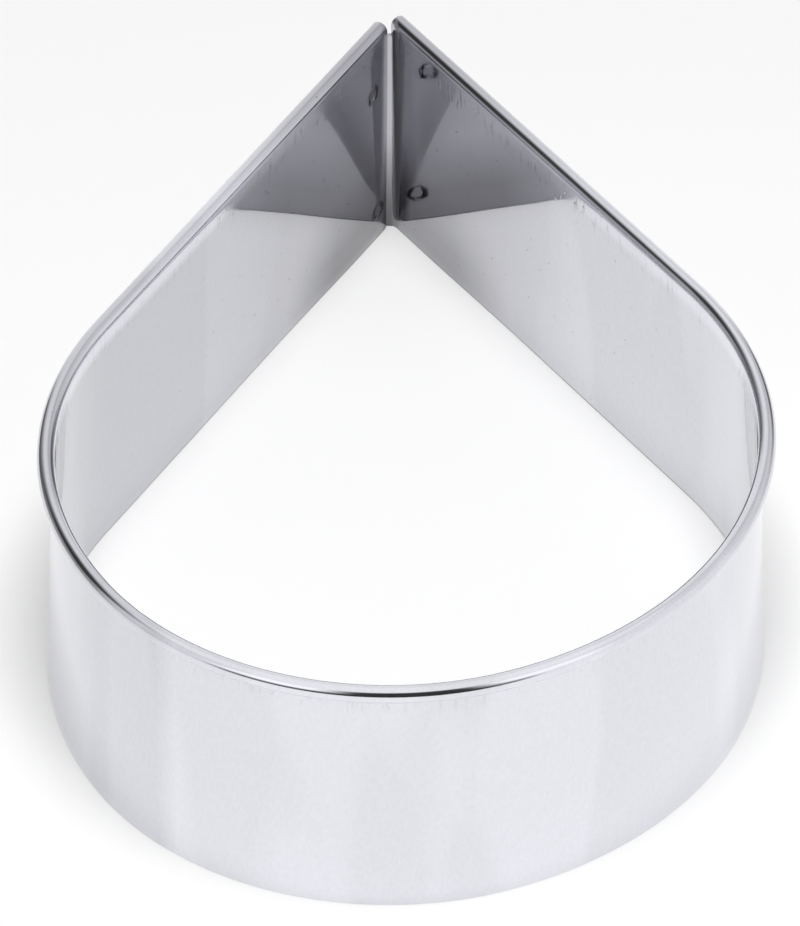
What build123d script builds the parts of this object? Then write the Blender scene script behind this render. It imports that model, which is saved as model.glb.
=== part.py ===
from build123d import *
from math import acos, cos, degrees, radians, sin, tan
import os

os.makedirs("parts", exist_ok=True)

# Teardrop cookie cutter: one strip of thin stainless steel stands on its lower,
# cutting edge, and its upper edge is rolled outwards into a round hem. The
# strip is bent into a drop whose two ends meet at the tip. There one end turns
# the corner and laps over the outside of the other, held by two spot welds.
# +Y points to the tip, +Z points up, and the cutting edge stands on Z = 0.

# Strip, in millimetres
overall_height = 30.0  # cutting edge to the top of the hem
sheet = 0.4  # thickness of the strip
wall_flare = 0.95  # the cutting edge stands this much further out than the hem

# Plan of the drop, on the inner face at the hem. The strip is bent by hand
# round a former, so the left and right sides of its round differ a little.
front_radius = 34.3
left_radius = 41.7
right_radius = 42.2
left_sweep = 61.6  # degrees of the round that have the left radius
right_sweep = 103.0  # degrees of the round that have the right radius
tip_angle = 63.2  # degrees between the two straight walls

# Rolled hem
hem_diameter = 1.9
hem_gap = 0.2  # between the curled edge and the wall that it closes on

# Lapped corner at the tip. The hem is cut away there, so that the strip can
# turn a tight corner and the lap can lie flat under the left hem.
bend_radius = 0.7  # inside of the bend
lap_length = 6.5  # straight part of the lap, past the bend
lap_gap = 0.05  # between the two layers
lap_corner_radius = 1.0
notch_depth = 0.1  # from the underside of the hem down to the top of the lap
hem_overrun = 0.85  # the right hem runs on past the start of the bend
end_clearance = 0.1  # from the end of the bend to the inner end of the strip
end_corner_radius = 0.5

# Spot welds: how far each one is from the inner end and from the cutting edge
weld_diameter = 2.2
upper_weld_setback = 3.1
upper_weld_height = 22.0
lower_weld_setback = 1.5
lower_weld_height = 4.0
dimple_diameter = 1.4  # flat floor of the dimple that each welding tip leaves
dimple_depth = 0.08
dimple_lip = 0.15  # level rim between the dimple and the edge of the weld

hem_radius = hem_diameter / 2
hem_center_height = overall_height - hem_radius
hem_curl = 180 + degrees(acos((sheet + hem_gap - hem_radius) / hem_radius))
lap_height = overall_height - hem_diameter - notch_depth
lap_offset = sheet + lap_gap
half_tip = tip_angle / 2
left_facing = 180 - half_tip
right_facing = half_tip
front_sweep = 180 + tip_angle - left_sweep - right_sweep


def outward(facing):
    """Level unit vector out of the drop, where the wall faces that many degrees from +X."""
    return Vector(cos(radians(facing)), sin(radians(facing)))


def lean(height):
    """How far out of plan the leaning inner face stands at a height."""
    return wall_flare * (1 - height / hem_center_height)


def crossing(point_a, along_a, point_b, along_b):
    """Where two level lines meet."""
    reach = (point_b - point_a).cross(along_b).Z / along_a.cross(along_b).Z
    return point_a + along_a * reach


def wall_profile(top):
    """Section through the wall, from the cutting edge up to a height."""
    with BuildSketch(mode=Mode.PRIVATE) as profile:
        with BuildLine():
            Polyline(
                (lean(0), 0),
                (lean(0) + sheet, 0),
                (lean(top) + sheet, top),
                (lean(top), top),
                close=True,
            )
        make_face()
    return profile.sketch


def hem_profile(bottom):
    """Section through the rolled hem and the stretch of wall under it, down to a height."""
    center = (hem_radius, hem_center_height)
    with BuildSketch(mode=Mode.PRIVATE) as profile:
        with BuildLine():
            inside = CenterArc(center, hem_radius - sheet, 180, -hem_curl)
            outside = CenterArc(center, hem_radius, 180, -hem_curl)
            Line(inside @ 1, outside @ 1)
            Polyline(
                inside @ 0,
                (lean(bottom) + sheet, bottom),
                (lean(bottom), bottom),
                outside @ 0,
            )
        make_face()
    return profile.sketch


# The round is drawn about the centre of its front, from the left wall to the
# right one. The straight walls run on from its ends and meet at the tip.
left_center = outward(left_facing + left_sweep) * (front_radius - left_radius)
round_start = left_center + outward(left_facing) * left_radius
with BuildLine() as round_line:
    left_arc = JernArc(round_start, outward(left_facing + 90), left_radius, left_sweep)
    front_arc = JernArc(left_arc @ 1, left_arc % 1, front_radius, front_sweep)
    right_arc = JernArc(front_arc @ 1, front_arc % 1, right_radius, right_sweep)
round_end = right_arc @ 1
left_to_tip = left_arc % 0 * -1
right_to_tip = right_arc % 1

# The lap lies outside the left wall, so the bend is set out from the corner
# that the lap's inner face makes with the right wall's inner face.
lap_corner = crossing(
    round_start + outward(left_facing) * lap_offset, left_to_tip, round_end, right_to_tip
)
bend_setback = bend_radius * tan(radians(90 - half_tip))
bend_start = lap_corner - right_to_tip * bend_setback
bend_end = lap_corner - left_to_tip * bend_setback
inner_end = bend_end - outward(left_facing) * lap_offset - left_to_tip * end_clearance

with BuildLine() as hemmed_line:
    Line(inner_end, round_start)
    add(round_line.line)
    Line(round_end, bend_start)

with BuildLine() as lap_line:
    bend = JernArc(bend_start, right_to_tip, bend_radius, 180 - tip_angle)
    lap_run = Line(bend @ 1, bend @ 1 - left_to_tip * lap_length)

left_section = Plane(inner_end, x_dir=outward(left_facing), z_dir=left_to_tip)
right_section = Plane(bend_start, x_dir=outward(right_facing), z_dir=right_to_tip * -1)

# Both layers have a hole at each weld, which the weld's own metal fills.
weld_depth = 2 * sheet + lap_gap
weld_places = {
    "upper_spot_weld": (upper_weld_setback, upper_weld_height),
    "lower_spot_weld": (lower_weld_setback, lower_weld_height),
}


def weld_plane(setback, height):
    """Plane on the left wall's inner face at a weld, facing out through both layers."""
    foot = inner_end - left_to_tip * setback + outward(left_facing) * lean(height)
    facing = outward(left_facing) + Vector(0, 0, wall_flare / hem_center_height)
    return Plane(foot + Vector(0, 0, height), x_dir=left_to_tip, z_dir=facing)


with BuildPart() as formed_band:
    with BuildSketch(left_section):
        add(wall_profile(hem_center_height))
        add(hem_profile(lap_height))
    sweep(path=hemmed_line.wire())
    with BuildSketch(right_section):
        add(wall_profile(lap_height))
    sweep(path=lap_line.wire())
    with BuildSketch(right_section):
        add(hem_profile(lap_height))
    extrude(amount=-hem_overrun)

    def end_edge(end, height):
        """Short edge across the sheet, at one end of the strip and at a height."""
        middle = end + outward(left_facing) * (lean(height) + sheet / 2) + Vector(0, 0, height)
        return formed_band.edges().filter_by(GeomType.LINE).sort_by_distance(middle)[0]

    fillet(end_edge(inner_end, 0), end_corner_radius)
    lap_end = lap_run @ 1
    fillet([end_edge(lap_end, 0), end_edge(lap_end, lap_height)], lap_corner_radius)
    with Locations([weld_plane(*place) for place in weld_places.values()]):
        Cylinder(weld_diameter / 2, 3 * weld_depth, mode=Mode.SUBTRACT)
formed_band.part.label = "formed_band"

# The origin is under the middle of the band's outline.
middle = formed_band.part.bounding_box().center()
to_origin = Location((-middle.X, -middle.Y, 0))
formed_band.part.locate(to_origin)
export_step(formed_band.part, "parts/formed_band.step")

# Each weld is a button of steel through both layers, with a shallow dimple
# where a welding tip pressed on each side.
weld_radius = weld_diameter / 2
on_base = (Align.CENTER, Align.CENTER, Align.MIN)
dimple_faces = [Location((0, 0, 0)), Location((0, 0, weld_depth), (180, 0, 0))]
for name, place in weld_places.items():
    with BuildPart(weld_plane(*place)) as spot_weld:
        Cylinder(weld_radius, weld_depth, align=on_base)
        with Locations(dimple_faces):
            Cone(
                weld_radius - dimple_lip,
                dimple_diameter / 2,
                dimple_depth,
                align=on_base,
                mode=Mode.SUBTRACT,
            )
    spot_weld.part.label = name
    spot_weld.part.locate(to_origin)
    export_step(spot_weld.part, f"parts/{name}.step")

size = formed_band.part.bounding_box().size
print(f"cutter {size.X:.2f} x {size.Y:.2f} x {size.Z:.2f} mm")
print(f"strip {hemmed_line.wire().length + lap_line.wire().length:.1f} mm long")
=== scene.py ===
import math

import bmesh
import bpy
from mathutils import Matrix, Vector


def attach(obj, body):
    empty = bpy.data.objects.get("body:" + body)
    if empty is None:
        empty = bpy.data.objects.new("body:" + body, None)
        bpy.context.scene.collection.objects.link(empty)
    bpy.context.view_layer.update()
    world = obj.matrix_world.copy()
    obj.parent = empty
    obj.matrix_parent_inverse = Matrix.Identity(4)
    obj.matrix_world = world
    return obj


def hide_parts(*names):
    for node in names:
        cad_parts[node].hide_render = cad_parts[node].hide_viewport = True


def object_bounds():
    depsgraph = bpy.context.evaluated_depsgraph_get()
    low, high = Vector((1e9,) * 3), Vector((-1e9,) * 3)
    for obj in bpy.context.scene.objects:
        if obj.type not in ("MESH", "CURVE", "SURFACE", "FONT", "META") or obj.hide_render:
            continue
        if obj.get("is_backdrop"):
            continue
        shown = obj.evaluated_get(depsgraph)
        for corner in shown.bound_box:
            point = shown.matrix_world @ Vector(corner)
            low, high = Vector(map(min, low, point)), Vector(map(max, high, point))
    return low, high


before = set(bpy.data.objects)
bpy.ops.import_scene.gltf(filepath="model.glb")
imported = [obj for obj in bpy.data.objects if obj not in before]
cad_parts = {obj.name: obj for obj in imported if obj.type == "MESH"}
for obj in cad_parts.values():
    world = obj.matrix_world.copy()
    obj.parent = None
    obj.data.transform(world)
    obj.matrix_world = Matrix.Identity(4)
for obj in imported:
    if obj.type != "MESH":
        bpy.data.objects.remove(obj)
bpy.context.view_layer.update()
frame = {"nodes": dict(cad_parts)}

# Teardrop cookie cutter: one strip of bright steel with a rolled hem, lapped and
# spot welded at the tip. Everything is modelled in millimetres and brought to
# metres when it is finished.
scene = bpy.context.scene
millimetre = 0.001
tolerance = 0.01             # millimetres, for picking points by their place
angleTolerance = 0.1         # degrees
smoothBelow = 35             # degrees between two faces that are shaded as one
print("frame loaded:", ", ".join(frame["nodes"]))


# level direction that faces so many degrees from +X
def outward(facing):
    return Vector((math.cos(math.radians(facing)), math.sin(math.radians(facing)), 0))


def clearSelection():
    if bpy.context.object and bpy.context.object.mode != "OBJECT":
        bpy.ops.object.mode_set(mode="OBJECT")
    bpy.ops.object.select_all(action="DESELECT")


# in edit mode, selects the verts, edges or faces that pass the test
def pick(kind, test):
    bpy.ops.mesh.select_mode(type={"verts": "VERT", "edges": "EDGE", "faces": "FACE"}[kind])
    bpy.ops.mesh.select_all(action="DESELECT")
    mesh = bmesh.from_edit_mesh(bpy.context.object.data)
    for item in [item for item in getattr(mesh, kind) if test(item)]:
        item.select_set(True)
    mesh.select_flush_mode()
    bmesh.update_edit_mesh(bpy.context.object.data)


# several copies of the selected edge line, one after another
def extrudeAlong(way, length, steps):
    for _ in range(steps):
        bpy.ops.mesh.extrude_region_move(TRANSFORM_OT_translate={"value": way * (length / steps)})


def applyAll(obj):
    for modifier in list(obj.modifiers):
        bpy.ops.object.modifier_apply(modifier=modifier.name)


# millimetres to metres, with the place left in the mesh
def toMetres(obj):
    clearSelection()
    obj.select_set(True)
    bpy.context.view_layer.objects.active = obj
    bpy.ops.object.transform_apply(location=True, rotation=True, scale=True)
    obj.scale = (millimetre, millimetre, millimetre)
    bpy.ops.object.transform_apply(location=True, rotation=True, scale=True)


# Plan of the drop, on the inner face at the hem. The left and right sides of
# the round differ a little, as the strip is bent by hand.
plan = {
    "frontCentre": Vector((-2.1944, -21.6882, 0)),
    "frontRadius": 34.3,
    "leftRadius": 41.7,
    "rightRadius": 42.2,
    "leftSweep": 61.6,       # degrees
    "rightSweep": 103.0,
    "tipAngle": 63.2,
    "bendRadius": 0.7,
    "lapGap": 0.05,
    "endClearance": 0.1,
}
strip = {
    "thickness": 0.4,
    "height": 30.0,
    "hemRadius": 0.95,
    "hemAcross": 0.95,       # middle of the hem, outside the plan line
    "footAcross": 0.95,      # inner face at the cutting edge
    "neckAcross": 0.0,       # inner face where it meets the hem
    "lapHeight": 28.0,
    "lapLength": 6.5,
    "hemOverrun": 0.85,
    "hemSides": 48,
    "hemOpening": 67.5,      # degrees of the circle that stay open
    "wallRows": 18,
    "neckRows": 2,
    "leftSteps": 38,
    "rightSteps": 35,
    "roundStep": 1.5,        # degrees
    "bendSteps": 14,
    "lapSteps": 5,
    "endCorner": 0.5,
    "lapCorner": 1.0,
    "cornerSteps": 6,
    "edgeBevel": 0.04,
    "bevelAbove": 50,        # degrees between two faces
    "foldEase": 0.55,        # the fold leans back this much further at the foot
    "easeFades": (25, 4),    # from the fold
    "endReach": 0.55,        # the inner end is cut askew, longer at the foot
    "reachFades": (-1.3, 0),
    "waves": 0.03,           # depth of the hand-bent unevenness
    "waveLength": 20,
    "wavesFadeUp": (28, 22),
    "wavesFadeToTip": (8, 22),
}

leftFacing = 180 - plan["tipAngle"] / 2
rightFacing = plan["tipAngle"] / 2
frontSweep = 180 + plan["tipAngle"] - plan["leftSweep"] - plan["rightSweep"]
leftJoin = leftFacing + plan["leftSweep"]        # where the front radius takes over
rightJoin = leftJoin + frontSweep
leftCentre = plan["frontCentre"] + outward(leftJoin) * (plan["frontRadius"] - plan["leftRadius"])
rightCentre = plan["frontCentre"] + outward(rightJoin) * (plan["frontRadius"] - plan["rightRadius"])
roundStart = leftCentre + outward(leftFacing) * plan["leftRadius"]
roundEnd = rightCentre + outward(rightFacing) * plan["rightRadius"]
leftToTip = outward(leftFacing - 90)
rightToTip = outward(rightFacing + 90)

# corner of the lap's inner face and the right wall's inner face
lapOffset = strip["thickness"] + plan["lapGap"]
lapLine = roundStart + outward(leftFacing) * lapOffset
reach = (lapLine - roundEnd).cross(leftToTip).z / rightToTip.cross(leftToTip).z
lapCornerPoint = roundEnd + rightToTip * reach
bendSetback = plan["bendRadius"] * math.tan(math.radians(90 - plan["tipAngle"] / 2))
bendStart = lapCornerPoint - rightToTip * bendSetback
bendEnd = lapCornerPoint - leftToTip * bendSetback
bendCentre = bendStart - outward(rightFacing) * plan["bendRadius"]
innerEnd = bendEnd - outward(leftFacing) * lapOffset - leftToTip * plan["endClearance"]
hemCentreHeight = strip["height"] - strip["hemRadius"]


# how far outside the plan line the inner face stands at a height
def faceAcross(height):
    share = height / hemCentreHeight
    return strip["footAcross"] + (strip["neckAcross"] - strip["footAcross"]) * share


# 0 at low, 1 at high, with a soft start and end
def smoothStep(low, high, value):
    t = max(0, min(1, (value - low) / (high - low)))
    return t * t * (3 - 2 * t)


# the walls lean a little less near the tip, and the fold keeps an even radius
def easeAtTip(place):
    fromFold = place - bendCentre
    facing = math.degrees(math.atan2(fromFold.y, fromFold.x))
    if facing < -90:
        facing += 360
    facing = max(rightFacing, min(leftFacing, facing))
    share = smoothStep(*strip["easeFades"], fromFold.xy.length) * (1 - place.z / hemCentreHeight)
    return (Vector((0, 1, 0)) - outward(facing)) * strip["foldEase"] * share


# The formed band. The face that is inside the drop and turns over the hem is
# drawn as one line, taken round the plan, and thickened at the end.
clearSelection()
hemPlace = innerEnd + outward(leftFacing) * strip["hemAcross"] + Vector((0, 0, hemCentreHeight))
bpy.ops.mesh.primitive_circle_add(
    vertices=strip["hemSides"],
    radius=strip["hemRadius"],
    location=hemPlace,
    rotation=(math.radians(90), 0, math.radians(leftFacing)),
)
band = bpy.context.object
band.name = band.data.name = "formedBand"
bpy.ops.object.transform_apply(location=True, rotation=True, scale=True)
bpy.ops.object.mode_set(mode="EDIT")


# angle of a point round the hem, 0 outwards and 90 up
def hemAngle(place):
    across = (place - hemPlace).dot(outward(leftFacing))
    return math.degrees(math.atan2(place.z - hemCentreHeight, across)) % 360


wallSide = 180               # degrees round the hem, where it meets the wall
curlEnd = wallSide + strip["hemOpening"]
pick("verts", lambda v: wallSide + angleTolerance < hemAngle(v.co) < curlEnd - angleTolerance)
bpy.ops.mesh.delete(type="VERT")
pick("verts", lambda v: abs(hemAngle(v.co) - wallSide) < angleTolerance)
neck = strip["hemAcross"] - strip["hemRadius"]
for low, fromAcross, high in (
    (strip["lapHeight"], neck, hemCentreHeight),
    (0, faceAcross(strip["lapHeight"]), strip["lapHeight"]),
):
    drop = outward(leftFacing) * (faceAcross(low) - fromAcross) + Vector((0, 0, low - high))
    bpy.ops.mesh.extrude_vertices_move(TRANSFORM_OT_translate={"value": drop})
pick("edges", lambda e: max(v.co.z for v in e.verts) < strip["lapHeight"] + tolerance)
bpy.ops.mesh.subdivide(number_cuts=strip["wallRows"])
pick("edges", lambda e: strip["lapHeight"] - tolerance < min(v.co.z for v in e.verts)
     and e.calc_length() > strip["hemRadius"])
bpy.ops.mesh.subdivide(number_cuts=strip["neckRows"])

# down the left wall, round the three radii, and up the right wall
bpy.ops.mesh.select_all(action="SELECT")
extrudeAlong(-leftToTip, (roundStart - innerEnd).length, strip["leftSteps"])
for centre, sweep in (
    (leftCentre, plan["leftSweep"]),
    (plan["frontCentre"], frontSweep),
    (rightCentre, plan["rightSweep"]),
):
    bpy.ops.mesh.spin(
        steps=round(sweep / strip["roundStep"]), angle=-math.radians(sweep),
        center=centre, axis=(0, 0, 1),
    )
extrudeAlong(rightToTip, (bendStart - roundEnd).length, strip["rightSteps"])


# true for an edge of the section that stands at a plan point and faces a way
def atSection(edge, point, way):
    return all(abs((v.co - point).dot(way)) < tolerance
               and (v.co - point).xy.length < 3 * strip["hemRadius"] for v in edge.verts)


# past the right wall the hem runs on alone, and the wall turns the corner alone
pick("edges", lambda e: atSection(e, bendStart, rightToTip)
     and min(v.co.z for v in e.verts) > strip["lapHeight"] - tolerance)
extrudeAlong(rightToTip, strip["hemOverrun"], 2)
pick("edges", lambda e: atSection(e, bendStart, rightToTip)
     and max(v.co.z for v in e.verts) < strip["lapHeight"] + tolerance)
bpy.ops.mesh.spin(
    steps=strip["bendSteps"], angle=-math.radians(180 - plan["tipAngle"]),
    center=bendCentre, axis=(0, 0, 1),
)
extrudeAlong(-leftToTip, strip["lapLength"], strip["lapSteps"])
bpy.ops.mesh.select_all(action="SELECT")
bpy.ops.mesh.remove_doubles(threshold=tolerance / 10)
bpy.ops.mesh.normals_make_consistent(inside=False)

# rounded corners of the two ends of the strip
lapEnd = bendEnd - leftToTip * strip["lapLength"]
for end, height, radius in (
    (innerEnd, 0, strip["endCorner"]),
    (lapEnd, 0, strip["lapCorner"]),
    (lapEnd, strip["lapHeight"], strip["lapCorner"]),
):
    corner = end + outward(leftFacing) * faceAcross(height) + Vector((0, 0, height))
    pick("verts", lambda v: (v.co - corner).length < 5 * tolerance)
    bpy.ops.mesh.bevel(offset=radius, segments=strip["cornerSteps"], affect="VERTICES",
                       clamp_overlap=False)
bpy.ops.object.mode_set(mode="OBJECT")

# the walls are eased at the tip, and the inner end is lengthened at its foot
for vertex in band.data.vertices:
    place = vertex.co.copy()
    if place.z > hemCentreHeight:
        continue
    fromEnd = place - innerEnd
    offWall = abs(fromEnd.dot(outward(leftFacing)) - faceAcross(place.z))
    along = fromEnd.dot(leftToTip)
    vertex.co = place + easeAtTip(place)
    onWall = offWall < strip["thickness"] / 2 and along < 5 * tolerance
    if onWall and place.z <= strip["lapHeight"]:
        askew = smoothStep(*strip["reachFades"], along) * (1 - place.z / hemCentreHeight)
        vertex.co += leftToTip * strip["endReach"] * askew

# slight unevenness of the walls, none near the hem and the tip
waved = band.vertex_groups.new(name="waved")
for vertex in band.data.vertices:
    x, y, z = vertex.co
    fromTip = (Vector((x, y, 0)) - bendStart).length
    weight = smoothStep(*strip["wavesFadeUp"], z)
    weight *= smoothStep(*strip["wavesFadeToTip"], fromTip)
    waved.add([vertex.index], weight, "REPLACE")
clouds = bpy.data.textures.new("wallWaves", type="CLOUDS")
clouds.noise_scale = strip["waveLength"]
clouds.noise_depth = 1
displace = band.modifiers.new("waves", "DISPLACE")
displace.texture = clouds
displace.strength = strip["waves"]
displace.mid_level = 0.5
displace.vertex_group = "waved"

solidify = band.modifiers.new("sheet", "SOLIDIFY")
solidify.thickness = strip["thickness"]
solidify.offset = -1
solidify.use_even_offset = True
shearedEdges = band.modifiers.new("shearedEdges", "BEVEL")
shearedEdges.limit_method = "ANGLE"
shearedEdges.angle_limit = math.radians(strip["bevelAbove"])
shearedEdges.width = strip["edgeBevel"]
shearedEdges.segments = 2
shearedEdges.use_clamp_overlap = False
applyAll(band)

# The spot welds: each is a button of steel in a hole through both layers, with a
# dimple on each side.
weld = {
    "radius": 1.1,
    "lip": 0.15,
    "ridge": 0.02,           # the raised ring round the dimple
    "dimple": 0.09,
    "floor": 0.62,           # radius of the dimple's floor
    "sides": 64,
    "rise": 0.01,            # of the floor's middle
    "soften": 0.03,
    "softenAbove": 8,        # degrees between two faces
}
weldDepth = 2 * strip["thickness"] + plan["lapGap"]
weldPlaces = {               # from the inner end, height, and the solid it replaces
    "upperWeld": (3.1, 22.0, "upper_spot_weld"),
    "lowerWeld": (1.5, 4.0, "lower_spot_weld"),
}
wallSlope = (strip["footAcross"] - strip["neckAcross"]) / hemCentreHeight
weldFacing = (outward(leftFacing) + Vector((0, 0, wallSlope))).normalized()
weldTurn = Matrix((leftToTip, weldFacing.cross(leftToTip), weldFacing)).transposed().to_4x4()
weldObjects = []
weldCentres = []
for name, (setback, height, node) in weldPlaces.items():
    foot = innerEnd - leftToTip * setback + outward(leftFacing) * faceAcross(height)
    foot += Vector((0, 0, height))
    middle = foot + easeAtTip(foot) + weldFacing * weldDepth / 2
    weldCentres.append(middle)
    clearSelection()
    bpy.ops.mesh.primitive_cylinder_add(vertices=weld["sides"], radius=weld["radius"],
                                        depth=weldDepth * 3)
    cutter = bpy.context.object
    cutter.matrix_world = Matrix.Translation(middle) @ weldTurn
    clearSelection()
    band.select_set(True)
    bpy.context.view_layer.objects.active = band
    hole = band.modifiers.new("weldHole", "BOOLEAN")
    hole.operation = "DIFFERENCE"
    hole.object = cutter
    hole.solver = "EXACT"
    applyAll(band)
    bpy.data.objects.remove(cutter)
    bpy.ops.mesh.primitive_cylinder_add(vertices=weld["sides"], radius=weld["radius"],
                                        depth=weldDepth)
    button = bpy.context.object
    button.name = button.data.name = name
    bpy.ops.object.mode_set(mode="EDIT")
    for side in (1, -1):
        pick("faces", lambda f: f.normal.z * side > 0.9)
        bpy.ops.mesh.inset(thickness=weld["lip"] / 2, depth=weld["ridge"])
        bpy.ops.mesh.inset(thickness=weld["lip"], depth=0)
        bpy.ops.mesh.inset(thickness=weld["radius"] - 1.5 * weld["lip"] - weld["floor"],
                           depth=-weld["dimple"])
        bpy.ops.mesh.inset(thickness=weld["floor"] / 2, depth=weld["rise"])
    bpy.ops.object.mode_set(mode="OBJECT")
    soften = button.modifiers.new("soften", "BEVEL")
    soften.limit_method = "ANGLE"
    soften.angle_limit = math.radians(weld["softenAbove"])
    soften.width = weld["soften"]
    soften.segments = 2
    applyAll(button)
    button.matrix_world = Matrix.Translation(middle) @ weldTurn
    weldObjects.append((button, node))

for obj in [band] + [button for button, node in weldObjects]:
    toMetres(obj)
    bpy.ops.object.shade_smooth_by_angle(angle=math.radians(smoothBelow))
print("band and welds modelled:", len(band.data.polygons), "faces in the band")


# The materials' nodes. A value may be a number, a colour or another node's output.
def setSocket(tree, socket, value):
    if isinstance(value, bpy.types.NodeSocket):
        tree.links.new(value, socket)
    else:
        socket.default_value = value


# adds a node, sets what is given by name or number, and returns it
def addNode(tree, kind, inputs=(), **settings):
    node = tree.nodes.new(kind)
    for key, value in settings.items():
        setattr(node, key, value)
    for key, value in dict(inputs).items():
        setSocket(tree, node.inputs[key], value)
    return node


def newMaterial(name):
    material = bpy.data.materials.new(name)
    material.use_nodes = True
    tree = material.node_tree
    return material, tree, tree.nodes["Principled BSDF"]


noises = {                   # scale per metre on each axis, detail, offset, and levels
    "grain": ((60, 60, 9000), 4, (0, 0, 0), (0.3, 0.7)),
    "cloudy": ((60, 60, 14), 2, (7, 2, 4), (0.47, 0.53)),
    "smudge": ((70, 70, 110), 3, (3, 1, 2), (0.45, 0.75)),
    "fine": ((2600, 2600, 1500), 2, (1, 3, 6), (0.3, 0.7)),
    "ticks": ((1900, 1900, 420), 2, (9, 4, 7), (0.57, 0.68)),
    "specks": ((1500, 1500, 1500), 1, (5, 8, 2), (0.745, 0.785)),
    "uneven": ((900, 900, 700), 2, (2, 6, 1), (0, 1)),
}


def stretchedNoise(tree, place, name):
    scale, detail, offset, _ = noises[name]
    mapping = addNode(tree, "ShaderNodeMapping", {
        "Vector": place, "Scale": scale, "Location": offset})
    return addNode(tree, "ShaderNodeTexNoise", {
        "Vector": mapping.outputs["Vector"], "Scale": 1.0, "Detail": detail,
    }).outputs["Fac"]


# low to high becomes toLow to toHigh, and stays there beyond them
def spread(tree, value, low, high, toLow, toHigh):
    return addNode(tree, "ShaderNodeMapRange", {
        "Value": value, "From Min": low, "From Max": high, "To Min": toLow, "To Max": toHigh,
    }).outputs["Result"]


# a noise taken between its levels, from one value to another
def noiseSpread(tree, noise, name, toLow, toHigh):
    return spread(tree, noise, *noises[name][3], toLow, toHigh)


def blendColour(tree, amount, first, second):
    return addNode(tree, "ShaderNodeMix", {0: amount, 6: first, 7: second},
                   data_type="RGBA").outputs[2]


def combine(tree, operation, first, second=0):
    return addNode(tree, "ShaderNodeMath", {0: first, 1: second}, operation=operation).outputs[0]


# where several masks lie over each other
def overlap(tree, mask, *others):
    for other in others:
        mask = combine(tree, "MULTIPLY", mask, other)
    return mask


# how far a place lies along a way
def partAlong(tree, place, way):
    return addNode(tree, "ShaderNodeVectorMath", {0: place, 1: way},
                   operation="DOT_PRODUCT").outputs["Value"]


def placeFrom(tree, place, centre):
    return addNode(tree, "ShaderNodeVectorMath", {0: place, 1: centre},
                   operation="SUBTRACT").outputs["Vector"]


steel = {
    "bright": (0.795, 0.80, 0.845, 1),
    "dull": (0.725, 0.73, 0.77, 1),
    "tip": (0.515, 0.515, 0.547, 1),     # painted shade, darker towards the tip
    # dark grey for forming marks, specks and weld halos, and for painted shade by the tip's foot
    "marksAndShadeGrey": (0.22, 0.22, 0.23, 1),
    # near black, for the burnt rings round the welds and for painted shade at the fold's foot
    "burntAndShadeBlack": (0.030, 0.028, 0.030, 1),
    # painted shade in the fold's crease
    "shadedCrease": (0.28, 0.28, 0.30, 1),
    "creaseMatteShare": 0.55,                  # share of the painted crease shade that isn't bare metal
    # the cutting edge's bare face, and painted contact shadow at the foot
    "shearedEdgeAndContactShade": (0.10, 0.10, 0.105, 1),
    "shadeBlack": (0, 0, 0, 1),                # black blended in by its share, for painted shade
    "innerShadeLeft": 0.24,                   # painted shade on the inner face at the left and the right
    "innerShadeRight": 0.12,
    "shoulderShade": 0.12,                # painted shade on the outer face at the left
    "mottle": (0.55, 0.45),              # shares of cloudy and fine unevenness
    "tickShade": (0.12, 0.30),           # from the front to the tip
    "speckShade": (0.06, 0.7),
    "edgeShade": 0.9,
    "creaseShade": 0.85,
    "scorchGap": 0.10,                   # what is left of the burnt ring in its gaps
    "halo": (0.25, 0.30),                # on the strip and on the welds
    "cornerFootShade": (0.75, 0.55),          # painted shade by the tip's foot, left and right
    # painted shade at the foot of the fold, inside
    "foldFootShade": 0.55,
    "roughness": (0.010, 0.030),
    "smudged": 0.02,                     # added roughness
    "rolled": 0.09,
    "underHem": 0.10,
    "scuffed": 0.20,
    "heated": 0.25,
    "grainDepth": 0.0000006,             # metres
    "tickDepth": 0.000009,
}
marks = {                                # millimetres: a mark grows or fades between the two
    "ticksBelow": (25.5, 26.8),          # heights of the forming marks under the hem
    "ticksAbove": (28.0, 29.2),
    "ticksTowardsTip": (0, 20),
    "specksTowardsTip": (0, 45),
    "facing": (-4, 0, 4),                # inner face, hem and end, outer face
    "turnedToTip": (-0.1, 0.0),          # share of 1, for faces that look to the front
    "innerTop": (27.0, 28.2),
    # painted shade on the inner face goes from its left to its right share across these
    "leftToRight": (-12, 12),
    # painted shade at the left shoulder fades out across these
    "shoulder": (-27.5, -25.5),
    # painted shade grows towards the tip between these
    "shadedTip": (26, 50),
    # where the painted shade by the tip's foot lies
    "cornerFootHeight": (4, 12),
    "cornerFootTowardsTip": (38, 47),
    "cornerFootSides": (-3, 3),
    "shearedEdgeAndContactShade": (0.10, 0.18),         # height of the cutting edge's bare face, darkened also as painted contact shadow
    "shearedTowardsTip": (-25, -10),
    "scorchRadius": 0.93,                # burnt ring round a weld
    "scorchRagged": 1.2,
    "scorchWidth": (0.14, 0.42),
    "scorchGaps": (0.25, 0.60),          # it is broken above and below
    "halo": (1.0, 2.0),
    "weldedSheet": (0.8, 1.0),           # through the two layers, from their middle
    # edges, heights and reach of the painted crease shade
    "creaseInner": (0.22, 0.48),         # from the fold's middle, at the foot and the top
    "creaseFoot": 1.15,
    "creaseWide": 1.58,
    "creaseTop": 0.98,
    "creaseSoft": (0.25, 0.12),          # how softly its two edges fade
    "creaseHeights": (0, 24, 28),
    "creaseTowardsTip": (40, 46),
    # where the painted shade at the fold's foot lies
    "foldFootHeight": (2, 14),
    "foldSides": (0.55, 0.90),
    "foldTowardsTip": (50, 53),
    "rolled": (26.2, 28.4),
    "underHemBelow": (25.6, 26.8),
    "underHemAbove": (27.6, 28.4),
    "scuffedOuter": (-2.0, -1.2),        # from the fold's middle
    "scuffedInner": (-0.30, -0.15),
    "scuffedTowardsTip": (50, 52),
}


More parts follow.
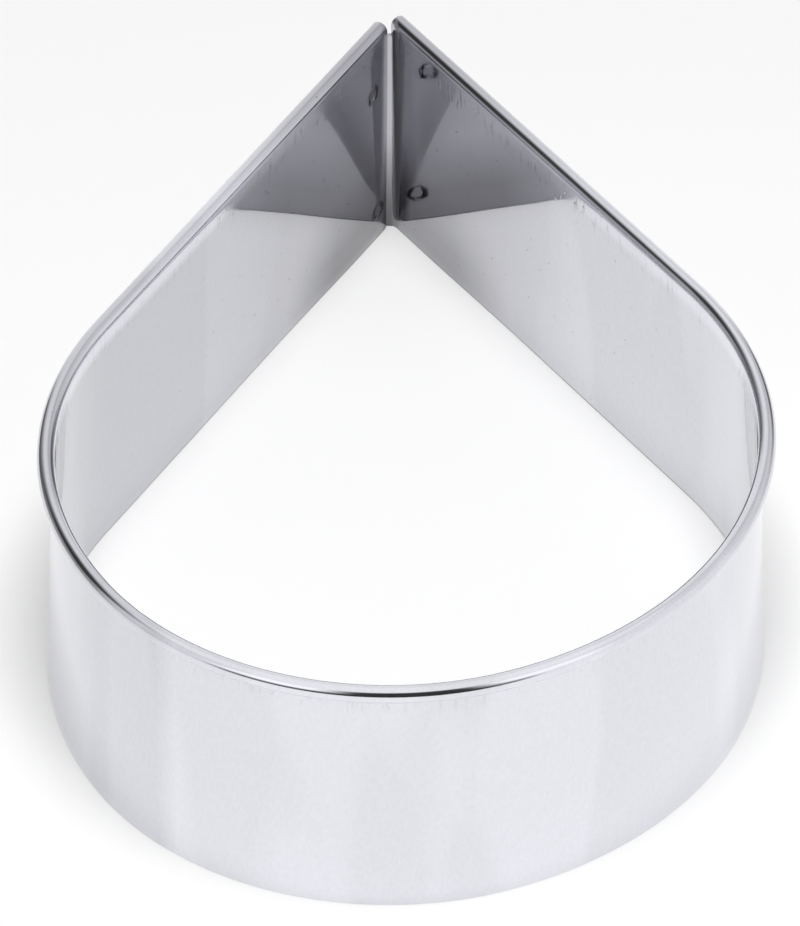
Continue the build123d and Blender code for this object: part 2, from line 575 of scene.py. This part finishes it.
# where a point of the steel is and which way it faces: metres for the noise,
# millimetres for the rest
def steelPlace(tree):
    coordinates = addNode(tree, "ShaderNodeTexCoord")
    metres = coordinates.outputs["Object"]
    facing = coordinates.outputs["Normal"]
    point = addNode(tree, "ShaderNodeVectorMath", {0: metres, "Scale": 1 / millimetre},
                    operation="SCALE").outputs["Vector"]
    parts = addNode(tree, "ShaderNodeSeparateXYZ", {"Vector": point})
    turnedOut = partAlong(tree, placeFrom(tree, point, plan["frontCentre"]), facing)
    inner, hem, outer = marks["facing"]
    return {
        "metres": metres,
        "point": point,
        "across": parts.outputs["X"],
        "towardsTip": parts.outputs["Y"],
        "height": parts.outputs["Z"],
        "fromFold": combine(tree, "SUBTRACT", parts.outputs["X"], bendCentre.x),
        "facesFront": spread(tree, partAlong(tree, facing, (0, 1, 0)), *marks["turnedToTip"],
                             1, 0),
        "innerFace": overlap(tree, spread(tree, turnedOut, inner, hem, 1, 0),
                             spread(tree, parts.outputs["Z"], *marks["innerTop"], 1, 0)),
        "outerFace": spread(tree, turnedOut, hem, outer, 0, 1),
    }


# a broken burnt ring and a dull halo round each weld
def weldMarks(tree, here, haloShare):
    uneven = stretchedNoise(tree, here["metres"], "uneven")
    ragged = combine(tree, "MULTIPLY", combine(tree, "SUBTRACT", uneven, 0.5),
                     marks["scorchRagged"])
    scorch, heat = 0, 0
    for centre in weldCentres:
        fromWeld = placeFrom(tree, here["point"], centre)
        along = partAlong(tree, fromWeld, leftToTip)
        upward = partAlong(tree, fromWeld, (0, 0, 1))
        throughSheet = combine(tree, "ABSOLUTE", partAlong(tree, fromWeld, weldFacing))
        inSheet = spread(tree, throughSheet, *marks["weldedSheet"], 1, 0)
        far = combine(tree, "SQRT", combine(
            tree, "ADD", combine(tree, "MULTIPLY", along, along),
            combine(tree, "MULTIPLY", upward, upward)))
        offRing = combine(tree, "SUBTRACT", combine(tree, "ADD", far, ragged),
                          marks["scorchRadius"])
        offRing = combine(tree, "ABSOLUTE", offRing)
        burntRing = overlap(
            tree, inSheet, spread(tree, offRing, *marks["scorchWidth"], 1, 0),
            spread(tree, combine(tree, "ABSOLUTE", along), *marks["scorchGaps"],
                   steel["scorchGap"], 1),
        )
        halo = overlap(tree, inSheet, spread(tree, far, *marks["halo"], haloShare, 0))
        scorch = combine(tree, "MAXIMUM", burntRing, scorch)
        heat = combine(tree, "MAXIMUM", halo, heat)
    return scorch, heat


# painted shade in the crease on the right of the fold's inner face, widest near its top
def foldCreaseShade(tree, here):
    low, wide, top = marks["creaseHeights"]
    fromFold = here["fromFold"]
    innerSoft, outerSoft = marks["creaseSoft"]
    outerEdge = combine(
        tree, "MINIMUM",
        spread(tree, here["height"], low, wide, marks["creaseFoot"], marks["creaseWide"]),
        spread(tree, here["height"], wide, top, marks["creaseWide"], marks["creaseTop"]),
    )
    innerEdge = spread(tree, here["height"], low, top, *marks["creaseInner"])
    return overlap(
        tree, here["facesFront"],
        spread(tree, combine(tree, "SUBTRACT", fromFold, innerEdge), 0, innerSoft, 0, 1),
        spread(tree, combine(tree, "SUBTRACT", outerEdge, fromFold), 0, outerSoft, 0, 1),
        spread(tree, here["towardsTip"], *marks["creaseTowardsTip"], 0, steel["creaseShade"]),
    )


# bright steel with random mottle, and painted shade towards the tip, on its inner face, at the left
# shoulder and by the foot of the tip and the fold
def bareColour(tree, here):
    towardsTip, height, across = here["towardsTip"], here["height"], here["across"]
    cloudy = stretchedNoise(tree, here["metres"], "cloudy")
    fine = stretchedNoise(tree, here["metres"], "fine")
    cloudShare, fineShare = steel["mottle"]
    mottle = combine(tree, "ADD", noiseSpread(tree, cloudy, "cloudy", 0, cloudShare),
                     noiseSpread(tree, fine, "fine", 0, fineShare))
    colour = blendColour(tree, mottle, steel["bright"], steel["dull"])
    # painted shade: the inner face darker, more at the left, and the outer face darker at the left
    # shoulder
    innerShade = overlap(tree, here["innerFace"], spread(
        tree, across, *marks["leftToRight"], steel["innerShadeLeft"], steel["innerShadeRight"]))
    outerShade = overlap(tree, here["outerFace"], spread(
        tree, across, *marks["shoulder"], steel["shoulderShade"], 0))
    colour = blendColour(tree, combine(tree, "MAXIMUM", innerShade, outerShade), colour,
                         steel["shadeBlack"])
    # painted shade, darker towards the tip
    colour = blendColour(tree, spread(tree, towardsTip, *marks["shadedTip"], 0, 1), colour,
                         steel["tip"])
    # painted shade on the inner face by the tip's foot
    cornerFootShade = overlap(
        tree, here["innerFace"],
        spread(tree, height, *marks["cornerFootHeight"], 1, 0),
        spread(tree, towardsTip, *marks["cornerFootTowardsTip"], 0, 1),
        spread(tree, across, *marks["cornerFootSides"], *steel["cornerFootShade"]),
    )
    colour = blendColour(tree, cornerFootShade, colour, steel["marksAndShadeGrey"])
    # painted shade, near black, in the foot of the fold's inner corner
    foldFootShade = overlap(
        tree, here["innerFace"],
        spread(tree, height, *marks["foldFootHeight"], steel["foldFootShade"], 0),
        spread(tree, combine(tree, "ABSOLUTE", here["fromFold"]), *marks["foldSides"], 1, 0),
        spread(tree, towardsTip, *marks["foldTowardsTip"], 0, 1),
    )
    return blendColour(tree, foldFootShade, colour, steel["burntAndShadeBlack"])


def steelRoughness(tree, here, grain, heat):
    height, fromFold = here["height"], here["fromFold"]
    smudge = stretchedNoise(tree, here["metres"], "smudge")
    rough = combine(tree, "ADD", noiseSpread(tree, grain, "grain", *steel["roughness"]),
                    noiseSpread(tree, smudge, "smudge", 0, steel["smudged"]))
    underHem = overlap(
        tree, here["outerFace"],
        spread(tree, height, *marks["underHemBelow"], 0, steel["underHem"]),
        spread(tree, height, *marks["underHemAbove"], 1, 0),
    )
    worked = combine(tree, "ADD", underHem,
                     spread(tree, height, *marks["rolled"], 0, steel["rolled"]))
    # the inner end by the fold is scuffed, so it mirrors the fold only softly
    scuffed = overlap(
        tree, here["facesFront"],
        spread(tree, fromFold, *marks["scuffedOuter"], 0, steel["scuffed"]),
        spread(tree, fromFold, *marks["scuffedInner"], 1, 0),
        spread(tree, here["towardsTip"], *marks["scuffedTowardsTip"], 0, 1),
    )
    worked = combine(tree, "MAXIMUM", worked, scuffed)
    worked = combine(tree, "MAXIMUM", worked,
                     combine(tree, "MULTIPLY", heat, steel["heated"]))
    return combine(tree, "ADD", rough, worked)


def brightSteel(name, haloShare):
    material, tree, shader = newMaterial(name)
    here = steelPlace(tree)
    metres, height, towardsTip = here["metres"], here["height"], here["towardsTip"]
    grain = stretchedNoise(tree, metres, "grain")
    ticks = stretchedNoise(tree, metres, "ticks")
    specks = stretchedNoise(tree, metres, "specks")
    # forming marks stand upright just under the hem
    tickMask = overlap(tree, noiseSpread(tree, ticks, "ticks", 0, 1),
                       spread(tree, height, *marks["ticksBelow"], 0, 1),
                       spread(tree, height, *marks["ticksAbove"], 1, 0))
    tickShade = overlap(tree, tickMask, spread(
        tree, towardsTip, *marks["ticksTowardsTip"], *steel["tickShade"]))
    speckMask = overlap(tree, noiseSpread(tree, specks, "specks", 0, 1), spread(
        tree, towardsTip, *marks["specksTowardsTip"], *steel["speckShade"]))
    # the bare face at the cutting edge, darkened also as painted contact shadow
    edgeMask = overlap(tree, spread(tree, height, *marks["shearedEdgeAndContactShade"], steel["edgeShade"], 0),
                       spread(tree, towardsTip, *marks["shearedTowardsTip"], 0, 1))
    shadedCrease = foldCreaseShade(tree, here)
    scorch, heat = weldMarks(tree, here, haloShare)
    colour = bareColour(tree, here)
    for mask, stain in (
        (tickShade, "marksAndShadeGrey"),
        (edgeMask, "shearedEdgeAndContactShade"),
        (speckMask, "marksAndShadeGrey"),
        (shadedCrease, "shadedCrease"),
        (heat, "marksAndShadeGrey"),
        (scorch, "burntAndShadeBlack"),
    ):
        colour = blendColour(tree, mask, colour, steel[stain])
    # the painted crease shade is also less metallic
    creaseMatte = combine(tree, "MULTIPLY", shadedCrease, steel["creaseMatteShare"])
    grainBump = addNode(tree, "ShaderNodeBump", {
        "Height": grain, "Strength": 1, "Distance": steel["grainDepth"]})
    tickBump = addNode(tree, "ShaderNodeBump", {
        "Height": tickMask, "Strength": 1, "Distance": steel["tickDepth"],
        "Normal": grainBump.outputs["Normal"]})
    tree.links.new(colour, shader.inputs["Base Color"])
    tree.links.new(steelRoughness(tree, here, grain, heat), shader.inputs["Roughness"])
    tree.links.new(combine(tree, "SUBTRACT", 1, creaseMatte), shader.inputs["Metallic"])
    tree.links.new(tickBump.outputs["Normal"], shader.inputs["Normal"])
    return material


stripHalo, weldHalo = steel["halo"]
stripSteel = brightSteel("brightStripSteel", stripHalo)
weldSteel = brightSteel("weldedSteel", weldHalo)
for obj, material, slotName, node in (
    [(band, stripSteel, "strip_steel", "formed_band")]
    + [(button, weldSteel, "weld_steel", node) for button, node in weldObjects]
):
    obj.data.materials.clear()
    obj.data.materials.append(material)
    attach(obj, "root")
    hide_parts(node)
print("materials made")


# The studio: white paper floor, one soft box, and a ring of card that only the
# steel's reflections see.
studio = {
    "floorSize": 3.0,
    "floorColour": (0.93, 0.93, 0.93, 1),
    "floorGlow": 0.22,
    "worldLight": 0.28,
    "boxPlace": (0.02, -0.22, 0.97),
    "boxSize": 0.4,
    "boxPower": 8.3,
}
card = {
    "radius": 0.6,
    "height": 0.90,
    "sides": 128,
    "coolness": 1.02,                # how much bluer than grey its shades are
    "lowToHigh": (0.15, 0.28),       # heights over which one row of shades gives way
    "highToTop": (0.62, 0.88),
    "topShade": (0.85, 0.85, 0.87, 1),
    # each shade at its place round the ring, where 0.25 is towards the camera
    "lowShades": (
        (0.00, 0.70), (0.09, 0.85), (0.120, 0.20), (0.20, 0.04), (0.315, 0.04),
        (0.350, 0.30), (0.365, 1.0), (0.50, 0.95), (0.545, 0.85), (0.600, 0.60),
        (0.635, 0.12), (0.660, 0.12), (0.68, 0.95), (0.82, 0.95), (0.840, 0.16),
        (0.880, 0.14), (0.920, 0.38), (0.975, 0.40), (0.995, 0.6),
    ),
    "highShades": (
        (0.00, 0.80), (0.08, 0.85), (0.11, 1.20), (0.18, 1.20), (0.215, 0.04),
        (0.310, 0.04), (0.345, 1.20), (0.40, 1.20), (0.44, 0.9), (0.50, 0.95),
        (0.56, 0.80), (0.64, 0.74), (0.68, 0.58), (0.73, 0.9), (0.80, 0.9),
        (0.835, 0.50), (0.875, 0.12), (0.90, 0.05), (0.95, 0.05), (0.985, 0.7),
    ),
}


# 1 for what is seen, directly or by way of steel, and 0 for light on the object
def seenRays(tree):
    path = addNode(tree, "ShaderNodeLightPath")
    seen = combine(tree, "ADD", path.outputs["Is Camera Ray"], path.outputs["Is Glossy Ray"])
    seen = combine(tree, "ADD", seen, path.outputs["Is Transmission Ray"])
    return combine(tree, "MINIMUM", seen, 1.0)


clearSelection()
bpy.ops.mesh.primitive_plane_add(size=studio["floorSize"], location=(0, 0, 0))
floor = bpy.context.object
floor.name = "floor"
palePaper, tree, shader = newMaterial("palePaper")
shader.inputs["Base Color"].default_value = studio["floorColour"]
shader.inputs["Roughness"].default_value = 1
shader.inputs["Specular IOR Level"].default_value = 0
# where it is seen, the paper is a little whiter than its shade and keeps the shadow
glowing = combine(tree, "MULTIPLY", seenRays(tree), studio["floorGlow"])
white = addNode(tree, "ShaderNodeEmission", {"Color": (1, 1, 1, 1), "Strength": 1.0})
paper = addNode(tree, "ShaderNodeMixShader", {
    0: glowing, 1: shader.outputs[0], 2: white.outputs[0]})
tree.links.new(paper.outputs[0], tree.nodes["Material Output"].inputs["Surface"])
floor.data.materials.append(palePaper)
floor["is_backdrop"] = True

# what the steel reflects round the horizon: dark card with gaps for lamps
bpy.ops.mesh.primitive_cylinder_add(
    vertices=card["sides"], radius=card["radius"], depth=card["height"],
    end_fill_type="NOTHING", location=(0, 0, card["height"] / 2),
)
cardRing = bpy.context.object
cardRing.name = "cardRing"
bpy.ops.object.transform_apply(location=True)
cardPaint = bpy.data.materials.new("cardShades")
cardPaint.use_nodes = True
cardTree = cardPaint.node_tree
cardTree.nodes.clear()
cardPlace = addNode(cardTree, "ShaderNodeTexCoord").outputs["Object"]
cardParts = addNode(cardTree, "ShaderNodeSeparateXYZ", {"Vector": cardPlace})
turn = combine(cardTree, "ARCTAN2", cardParts.outputs["Y"], cardParts.outputs["X"])
around = combine(cardTree, "ADD", combine(cardTree, "DIVIDE", turn, 2 * math.pi), 0.5)


def shadesRound(stops):
    ramp = addNode(cardTree, "ShaderNodeValToRGB", {"Fac": around})
    for _ in range(len(stops) - 2):
        ramp.color_ramp.elements.new(0.5)
    for element, (position, shade) in zip(ramp.color_ramp.elements, stops):
        element.position = position
        element.color = (shade, shade, shade * card["coolness"], 1)
    return ramp.outputs["Color"]


cardHeight = cardParts.outputs["Z"]
cardShade = blendColour(
    cardTree, spread(cardTree, cardHeight, *card["lowToHigh"], 0, 1),
    shadesRound(card["lowShades"]), shadesRound(card["highShades"]),
)
cardShade = blendColour(
    cardTree, spread(cardTree, cardHeight, *card["highToTop"], 0, 1),
    cardShade, card["topShade"],
)
cardGlow = addNode(cardTree, "ShaderNodeEmission", {"Color": cardShade, "Strength": 1.0})
addNode(cardTree, "ShaderNodeOutputMaterial", {"Surface": cardGlow.outputs[0]})
cardRing.data.materials.append(cardPaint)
for ray in ("visible_camera", "visible_diffuse", "visible_shadow", "visible_transmission"):
    setattr(cardRing, ray, False)
cardRing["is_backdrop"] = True

boxLight = bpy.data.lights.new("softBox", type="AREA")
boxLight.shape = "SQUARE"
boxLight.size = studio["boxSize"]
boxLight.energy = studio["boxPower"]
softBox = bpy.data.objects.new("softBox", boxLight)
scene.collection.objects.link(softBox)
softBox.location = studio["boxPlace"]
softBox.visible_camera = False
softBox.visible_glossy = False

whiteRoom = bpy.data.worlds.new("whiteRoom")
scene.world = whiteRoom
whiteRoom.use_nodes = True
roomTree = whiteRoom.node_tree
roomTree.nodes.clear()
lighting = addNode(roomTree, "ShaderNodeBackground", {
    "Color": (1, 1, 1, 1), "Strength": studio["worldLight"]})
backdrop = addNode(roomTree, "ShaderNodeBackground", {"Color": (1, 1, 1, 1), "Strength": 1.0})
room = addNode(roomTree, "ShaderNodeMixShader", {
    0: seenRays(roomTree), 1: lighting.outputs[0], 2: backdrop.outputs[0]})
addNode(roomTree, "ShaderNodeOutputWorld", {"Surface": room.outputs[0]})
print("studio lit")


# The camera, at the photograph's angle. Its distance and aim are measured from
# the middle of the front's round, in front radii.
view = {
    "elevation": 39.769,             # degrees
    "turn": 2.348,
    "roll": -0.155,
    "aim": (-0.0378, -0.6892),       # sideways and upwards
    "distance": 31.0,
    "focalPixels": 9862.9,
    "imageHeight": 926,
    "sensor": 36,
    "clip": (0.05, 20),
}
tilt = Matrix.Rotation(math.radians(90 - view["elevation"]), 3, "X")
turned = Matrix.Rotation(-math.radians(view["turn"]), 3, "Z")
rolled = Matrix.Rotation(-math.radians(view["roll"]), 3, "Z")
facing = turned @ tilt @ rolled
sideways, upwards = view["aim"]
unit = plan["frontRadius"] * millimetre
offset = facing @ Vector((-sideways * unit, -upwards * unit, view["distance"] * unit))
cameraData = bpy.data.cameras.new("camera")
cameraData.sensor_width = view["sensor"]
cameraData.lens = view["focalPixels"] * view["sensor"] / view["imageHeight"]
cameraData.clip_start, cameraData.clip_end = view["clip"]
camera = bpy.data.objects.new("camera", cameraData)
scene.collection.objects.link(camera)
camera.matrix_world = Matrix.Translation(plan["frontCentre"] * millimetre + offset) @ facing.to_4x4()
scene.camera = camera
scene.view_settings.view_transform = "Standard"
print("camera at", [round(value, 4) for value in camera.location])

low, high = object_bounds()
